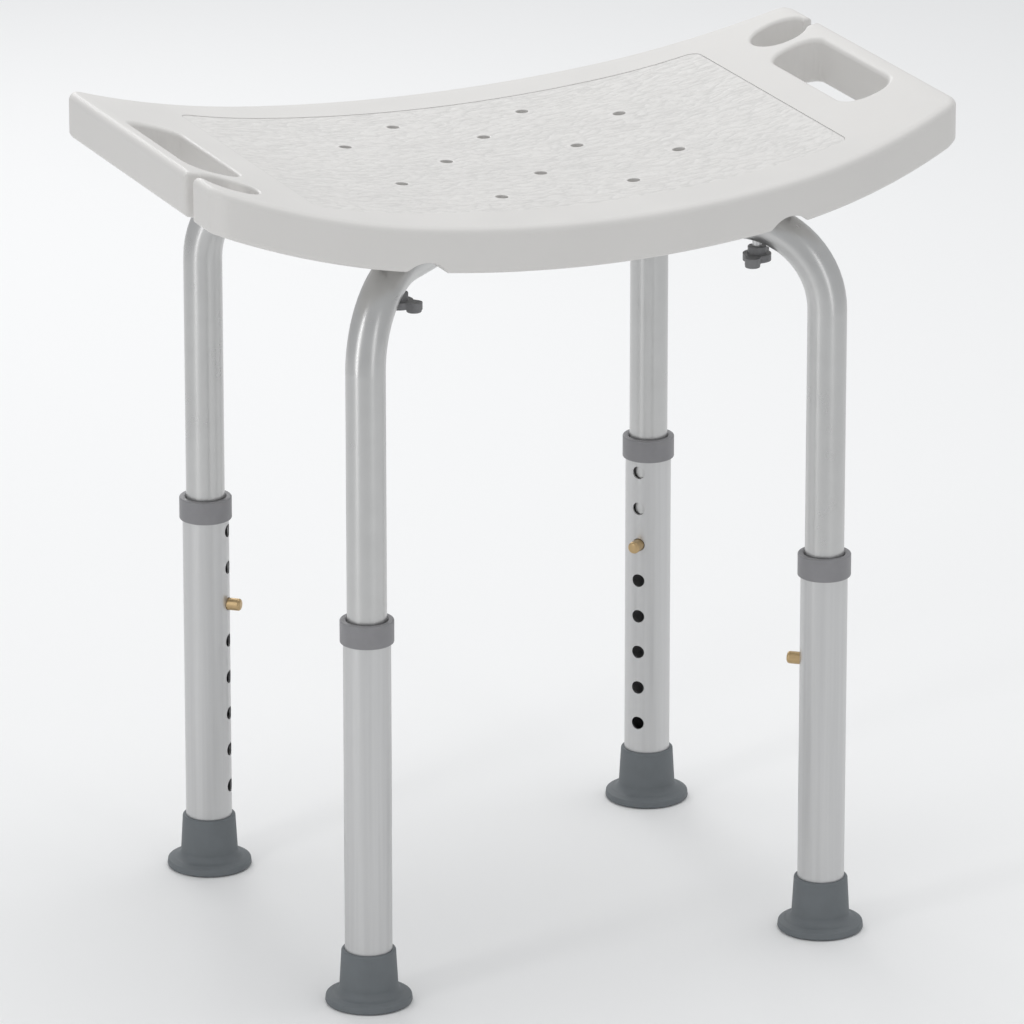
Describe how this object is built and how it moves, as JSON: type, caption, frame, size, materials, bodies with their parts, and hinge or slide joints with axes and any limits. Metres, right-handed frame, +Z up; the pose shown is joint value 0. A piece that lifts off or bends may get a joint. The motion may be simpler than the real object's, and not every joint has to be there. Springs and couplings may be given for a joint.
{
  "type": "shower stool",
  "caption": "Adjustable shower stool: saddle-shaped plastic seat with hand slots and drain holes on crossed aluminium tubes with telescopic legs and rubber feet.",
  "frame": {"origin": "on the floor, under the middle of the seat", "axes": "+Z up, +X along the seat's length, -Y towards the front"},
  "size_m": [0.508, 0.3202, 0.5378],
  "materials": {
    "seat_plastic": "off-white blow-moulded polyethylene with a fine matt surface and a wrinkle grain on the panel",
    "tube_satin": "satin anodised aluminium tube",
    "tube_matt": "matt anodised aluminium tube with faint draw lines",
    "rivet_steel": "zinc-plated steel",
    "spring_steel": "stainless spring steel",
    "insert_brass": "turned brass",
    "button_brass": "satin brass",
    "bush_plastic": "black polyethylene",
    "collar_grey": "mid grey plastic",
    "knob_grey": "dark grey plastic",
    "foot_rubber": "blue-grey rubber"
  },
  "bodies": {
    "frame": {"seat": "seat_plastic", "cross_tube_upper": "tube_satin", "cross_tube_lower": "tube_satin", "crossing_rivet": "rivet_steel", "threaded_insert_front_left": "insert_brass", "glide_bush_front_left": "bush_plastic", "spring_clip_front_left": "spring_steel", "threaded_insert_front_right": "insert_brass", "glide_bush_front_right": "bush_plastic", "spring_clip_front_right": "spring_steel", "threaded_insert_back_left": "insert_brass", "glide_bush_back_left": "bush_plastic", "spring_clip_back_left": "spring_steel", "threaded_insert_back_right": "insert_brass", "glide_bush_back_right": "bush_plastic", "spring_clip_back_right": "spring_steel"},
    "leg_front_left": {"lower_tube_front_left": "tube_matt", "collar_front_left": "collar_grey", "rubber_foot_front_left": "foot_rubber", "foot_washer_front_left": "spring_steel"},
    "button_front_left": {"snap_button_front_left": "button_brass"},
    "knob_front_left": {"hand_knob_front_left": "knob_grey", "knob_stud_front_left": "rivet_steel"},
    "leg_front_right": {"lower_tube_front_right": "tube_matt", "collar_front_right": "collar_grey", "rubber_foot_front_right": "foot_rubber", "foot_washer_front_right": "spring_steel"},
    "button_front_right": {"snap_button_front_right": "button_brass"},
    "knob_front_right": {"hand_knob_front_right": "knob_grey", "knob_stud_front_right": "rivet_steel"},
    "leg_back_left": {"lower_tube_back_left": "tube_matt", "collar_back_left": "collar_grey", "rubber_foot_back_left": "foot_rubber", "foot_washer_back_left": "spring_steel"},
    "button_back_left": {"snap_button_back_left": "button_brass"},
    "knob_back_left": {"hand_knob_back_left": "knob_grey", "knob_stud_back_left": "rivet_steel"},
    "leg_back_right": {"lower_tube_back_right": "tube_matt", "collar_back_right": "collar_grey", "rubber_foot_back_right": "foot_rubber", "foot_washer_back_right": "spring_steel"},
    "button_back_right": {"snap_button_back_right": "button_brass"},
    "knob_back_right": {"hand_knob_back_right": "knob_grey", "knob_stud_back_right": "rivet_steel"}
  },
  "joints": [
    {"name": "leg_slide_front_left", "type": "slide", "parent": "frame", "child": "leg_front_left", "axis": [0, 0, 1], "range_m": [-0.05, 0.1]},
    {"name": "button_press_front_left", "type": "slide", "parent": "frame", "child": "button_front_left", "axis": [-0.765, -0.644, 0], "range_m": [0, 0.0102], "stiffness_N_per_m": 1500, "springref_m": -0.004, "deforming": ["spring_clip_front_left"]},
    {"name": "knob_turn_front_left", "type": "hinge", "parent": "frame", "child": "knob_front_left", "pos_m": [-0.1224, -0.10305, 0.448], "axis": [0, 0, 1], "continuous": true},
    {"name": "leg_slide_front_right", "type": "slide", "parent": "frame", "child": "leg_front_right", "axis": [0, 0, 1], "range_m": [-0.05, 0.1]},
    {"name": "button_press_front_right", "type": "slide", "parent": "frame", "child": "button_front_right", "axis": [0.765, -0.644, 0], "range_m": [0, 0.0102], "stiffness_N_per_m": 1500, "springref_m": -0.004, "deforming": ["spring_clip_front_right"]},
    {"name": "knob_turn_front_right", "type": "hinge", "parent": "frame", "child": "knob_front_right", "pos_m": [0.1224, -0.10305, 0.448], "axis": [0, 0, 1], "continuous": true},
    {"name": "leg_slide_back_left", "type": "slide", "parent": "frame", "child": "leg_back_left", "axis": [0, 0, 1], "range_m": [-0.05, 0.1]},
    {"name": "button_press_back_left", "type": "slide", "parent": "frame", "child": "button_back_left", "axis": [-0.765, 0.644, 0], "range_m": [0, 0.0102], "stiffness_N_per_m": 1500, "springref_m": -0.004, "deforming": ["spring_clip_back_left"]},
    {"name": "knob_turn_back_left", "type": "hinge", "parent": "frame", "child": "knob_back_left", "pos_m": [-0.1224, 0.10305, 0.448], "axis": [0, 0, 1], "continuous": true},
    {"name": "leg_slide_back_right", "type": "slide", "parent": "frame", "child": "leg_back_right", "axis": [0, 0, 1], "range_m": [-0.05, 0.1]},
    {"name": "button_press_back_right", "type": "slide", "parent": "frame", "child": "button_back_right", "axis": [0.765, 0.644, 0], "range_m": [0, 0.0102], "stiffness_N_per_m": 1500, "springref_m": -0.004, "deforming": ["spring_clip_back_right"]},
    {"name": "knob_turn_back_right", "type": "hinge", "parent": "frame", "child": "knob_back_right", "pos_m": [0.1224, 0.10305, 0.448], "axis": [0, 0, 1], "continuous": true}
  ]
}
